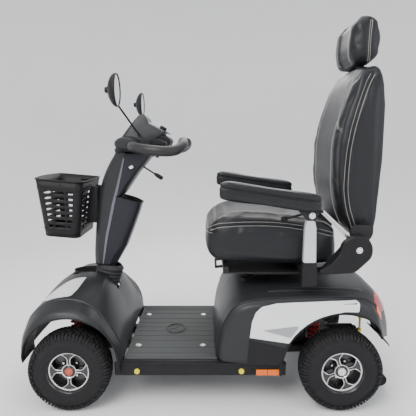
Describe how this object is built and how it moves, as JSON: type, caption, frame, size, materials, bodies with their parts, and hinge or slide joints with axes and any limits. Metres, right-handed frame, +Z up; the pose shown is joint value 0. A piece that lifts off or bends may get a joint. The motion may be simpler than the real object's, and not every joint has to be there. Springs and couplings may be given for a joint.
{
  "type": "mobility scooter",
  "caption": "Heavy-duty mobility scooter with a padded captain seat, folding armrests, tilting tiller with basket and mirrors, sprung wheels and a flat floor.",
  "frame": {"origin": "on the floor under the middle of the overall box", "axes": "+X forward, +Y to the rider's left, +Z up"},
  "size_m": [1.5299, 0.738, 1.5379],
  "materials": {
    "frame_paint": "satin black powder coat",
    "body_plastic": "metallic charcoal, satin gloss",
    "silver_plastic": "bright silver paint",
    "black_plastic": "fine moulded texture",
    "mat_rubber": "ribbed floor mat",
    "lens": "transparent lens plastic",
    "amber": "reflector",
    "battery": "sealed battery cases",
    "spring_red": "red powder coat",
    "steel": "zinc plated",
    "tyre": "matte black, off-road blocks",
    "rim": "black with machined edges",
    "cast": "cast housing",
    "lever_yellow": "yellow grip",
    "gaiter_rubber": "moulded bellows",
    "grip": "satin soft-touch bar",
    "leather": "black upholstery with pale grey stitches",
    "button_red": "push button"
  },
  "bodies": {
    "chassis": {"main_frame": "frame_paint", "floor_pan": "black_plastic", "floor_mat": "mat_rubber", "sill_rails": "black_plastic", "front_cowl": "body_plastic", "bonnet_panels": "silver_plastic", "lamps": "lens", "rear_cowl": "body_plastic", "side_panels": "silver_plastic", "rear_skirts": "black_plastic", "side_reflectors": "amber", "power_pack": "battery", "front_springs": "spring_red", "rear_springs": "spring_red"},
    "front_arm_left": {"front_arm_left": "frame_paint"},
    "front_arm_right": {"front_arm_right": "frame_paint"},
    "knuckle_left": {"knuckle_left": "steel"},
    "knuckle_right": {"knuckle_right": "steel"},
    "track_rod": {"track_rod": "steel"},
    "wheel_front_left": {"tyre_front_left": "tyre", "rim_front_left": "rim"},
    "wheel_front_right": {"tyre_front_right": "tyre", "rim_front_right": "rim"},
    "wheel_rear_left": {"tyre_rear_left": "tyre", "rim_rear_left": "rim"},
    "wheel_rear_right": {"tyre_rear_right": "tyre", "rim_rear_right": "rim"},
    "rear_axle": {"rear_swing_arm": "frame_paint", "transaxle": "cast"},
    "freewheel_lever": {"freewheel_lever": "lever_yellow"},
    "anti_tip_rollers": {"anti_tip_rollers": "black_plastic"},
    "steering_column": {"steering_column": "frame_paint", "steering_gaiter": "gaiter_rubber"},
    "tiller": {"tiller_shell": "body_plastic", "tiller_rear_cover": "black_plastic", "console": "body_plastic", "handlebar": "grip"},
    "mirror_left": {"mirror_left": "black_plastic"},
    "mirror_right": {"mirror_right": "black_plastic"},
    "speed_dial": {"speed_dial": "black_plastic"},
    "throttle": {"throttle_paddles": "black_plastic"},
    "horn_button": {"horn_button": "button_red"},
    "tilt_lever": {"tilt_lever": "black_plastic"},
    "basket": {"basket": "black_plastic"},
    "basket_handle": {"basket_handle": "black_plastic"},
    "seat_post": {"seat_post": "steel"},
    "swivel": {"swivel_plate": "frame_paint"},
    "seat": {"seat_frame": "frame_paint", "seat_cushion": "leather", "hinge_covers": "black_plastic"},
    "swivel_lever": {"swivel_lever": "black_plastic"},
    "slide_lever": {"slide_lever": "black_plastic"},
    "backrest": {"backrest_shell": "black_plastic", "backrest_cushion": "leather"},
    "recline_lever": {"recline_lever": "steel"},
    "headrest": {"headrest": "leather"},
    "arm_left": {"arm_post_left": "black_plastic"},
    "arm_right": {"arm_post_right": "black_plastic"},
    "armrest_left": {"armrest_left": "leather"},
    "armrest_right": {"armrest_right": "leather"}
  },
  "joints": [
    {"name": "front_suspension_left", "type": "hinge", "parent": "chassis", "child": "front_arm_left", "pos_m": [0.542, 0.108, 0.168], "axis": [1, 0, 0], "range_deg": [-4, 4], "stiffness_Nm_per_rad": 6000, "deforming": ["front_springs"]},
    {"name": "front_suspension_right", "type": "hinge", "parent": "chassis", "child": "front_arm_right", "pos_m": [0.542, -0.108, 0.168], "axis": [1, 0, 0], "range_deg": [-4, 4], "stiffness_Nm_per_rad": 6000},
    {"name": "knuckle_steer_left", "type": "hinge", "parent": "front_arm_left", "child": "knuckle_left", "pos_m": [0.542, 0.225, 0.1625], "axis": [0, 0, 1], "range_deg": [-31, 31]},
    {"name": "knuckle_steer_right", "type": "hinge", "parent": "front_arm_right", "child": "knuckle_right", "pos_m": [0.542, -0.225, 0.1625], "axis": [0, 0, 1], "range_deg": [-31, 31]},
    {"name": "track_rod_slide", "type": "slide", "parent": "chassis", "child": "track_rod", "axis": [0, 1, 0], "range_m": [-0.05, 0.05]},
    {"name": "wheel_spin_front_left", "type": "hinge", "parent": "knuckle_left", "child": "wheel_front_left", "pos_m": [0.542, 0.285, 0.1625], "axis": [0, 1, 0], "continuous": true},
    {"name": "wheel_spin_front_right", "type": "hinge", "parent": "knuckle_right", "child": "wheel_front_right", "pos_m": [0.542, -0.285, 0.1625], "axis": [0, 1, 0], "continuous": true},
    {"name": "rear_suspension", "type": "hinge", "parent": "chassis", "child": "rear_axle", "pos_m": [-0.33, 0, 0.162], "axis": [0, 1, 0], "range_deg": [-4, 4], "stiffness_Nm_per_rad": 12000, "deforming": ["rear_springs"]},
    {"name": "wheel_spin_rear_left", "type": "hinge", "parent": "rear_axle", "child": "wheel_rear_left", "pos_m": [-0.521, 0.285, 0.1625], "axis": [0, 1, 0], "continuous": true},
    {"name": "wheel_spin_rear_right", "type": "hinge", "parent": "rear_axle", "child": "wheel_rear_right", "pos_m": [-0.521, -0.285, 0.1625], "axis": [0, 1, 0], "continuous": true},
    {"name": "freewheel", "type": "hinge", "parent": "rear_axle", "child": "freewheel_lever", "pos_m": [-0.688, 0.02, 0.204], "axis": [1, 0, 0], "range_deg": [-60, 0]},
    {"name": "anti_tip_spin", "type": "hinge", "parent": "chassis", "child": "anti_tip_rollers", "pos_m": [-0.74, 0, 0.038], "axis": [0, 1, 0], "continuous": true},
    {"name": "tiller_steer", "type": "hinge", "parent": "chassis", "child": "steering_column", "pos_m": [0.44, 0, 0.49], "axis": [-0.2588, 0, 0.9659], "range_deg": [-40, 40]},
    {"name": "tiller_tilt", "type": "hinge", "parent": "steering_column", "child": "tiller", "pos_m": [0.44, 0, 0.49], "axis": [0, 1, 0], "range_deg": [-8, 25], "deforming": ["steering_gaiter"]},
    {"name": "mirror_turn_left", "type": "hinge", "parent": "tiller", "child": "mirror_left", "pos_m": [0.275, 0.126, 1.068], "axis": [0, 0, 1], "range_deg": [-30, 30]},
    {"name": "mirror_turn_right", "type": "hinge", "parent": "tiller", "child": "mirror_right", "pos_m": [0.275, -0.126, 1.068], "axis": [0, 0, 1], "range_deg": [-30, 30]},
    {"name": "speed_turn", "type": "hinge", "parent": "tiller", "child": "speed_dial", "pos_m": [0.196, 0, 1.0982], "axis": [-0.4587, 0, 0.8886], "range_deg": [-135, 135]},
    {"name": "throttle_pull", "type": "hinge", "parent": "tiller", "child": "throttle", "pos_m": [0.215, 0, 1.052], "axis": [0, 1, 0], "range_deg": [-12, 12], "stiffness_Nm_per_rad": 3},
    {"name": "horn_press", "type": "slide", "parent": "tiller", "child": "horn_button", "axis": [0.4587, 0, -0.8886], "range_m": [0, 0.003], "stiffness_N_per_m": 800},
    {"name": "tilt_release", "type": "hinge", "parent": "tiller", "child": "tilt_lever", "pos_m": [0.308, 0.03, 0.964], "axis": [0, 1, 0], "range_deg": [0, 14], "stiffness_Nm_per_rad": 4},
    {"name": "basket_lift", "type": "slide", "parent": "tiller", "child": "basket", "axis": [0, 0, 1], "range_m": [0, 0.06]},
    {"name": "basket_bail", "type": "hinge", "parent": "basket", "child": "basket_handle", "pos_m": [0.59334, 0, 0.87706], "axis": [0, 1, 0], "range_deg": [0, 90]},
    {"name": "seat_height", "type": "slide", "parent": "chassis", "child": "seat_post", "axis": [0, 0, 1], "range_m": [0, 0.1]},
    {"name": "seat_swivel", "type": "hinge", "parent": "seat_post", "child": "swivel", "pos_m": [-0.274, 0, 0.5], "axis": [0, 0, 1], "range_deg": [-90, 90]},
    {"name": "seat_slide", "type": "slide", "parent": "swivel", "child": "seat", "axis": [1, 0, 0], "range_m": [-0.075, 0.075]},
    {"name": "swivel_release", "type": "hinge", "parent": "swivel", "child": "swivel_lever", "pos_m": [-0.228, 0.084, 0.49], "axis": [0, 0, 1], "range_deg": [-20, 0], "stiffness_Nm_per_rad": 2},
    {"name": "slide_release", "type": "hinge", "parent": "seat", "child": "slide_lever", "pos_m": [-0.114, 0, 0.519], "axis": [0, -1, 0], "range_deg": [0, 6], "stiffness_Nm_per_rad": 20},
    {"name": "backrest_recline", "type": "hinge", "parent": "seat", "child": "backrest", "pos_m": [-0.574, 0, 0.641], "axis": [0, 1, 0], "range_deg": [-35, 20]},
    {"name": "recline_release", "type": "hinge", "parent": "seat", "child": "recline_lever", "pos_m": [-0.548, 0.259, 0.668], "axis": [0, -1, 0], "range_deg": [0, 10], "stiffness_Nm_per_rad": 10},
    {"name": "headrest_height", "type": "slide", "parent": "backrest", "child": "headrest", "axis": [0, 0, 1], "range_m": [0, 0.08]},
    {"name": "arm_width_left", "type": "slide", "parent": "seat", "child": "arm_left", "axis": [0, 1, 0], "range_m": [0, 0.05]},
    {"name": "arm_width_right", "type": "slide", "parent": "seat", "child": "arm_right", "axis": [0, -1, 0], "range_m": [0, 0.05]},
    {"name": "armrest_lift_left", "type": "hinge", "parent": "arm_left", "child": "armrest_left", "pos_m": [-0.389, 0.292, 0.775], "axis": [0, -1, 0], "range_deg": [0, 90]},
    {"name": "armrest_lift_right", "type": "hinge", "parent": "arm_right", "child": "armrest_right", "pos_m": [-0.389, -0.292, 0.775], "axis": [0, -1, 0], "range_deg": [0, 90]}
  ],
  "couplings": [
    {"joint": "knuckle_steer_left", "follows": "tiller_steer", "ratio": 0.75},
    {"joint": "knuckle_steer_right", "follows": "tiller_steer", "ratio": 0.75},
    {"joint": "track_rod_slide", "follows": "tiller_steer", "m_per_rad": -0.0593}
  ]
}
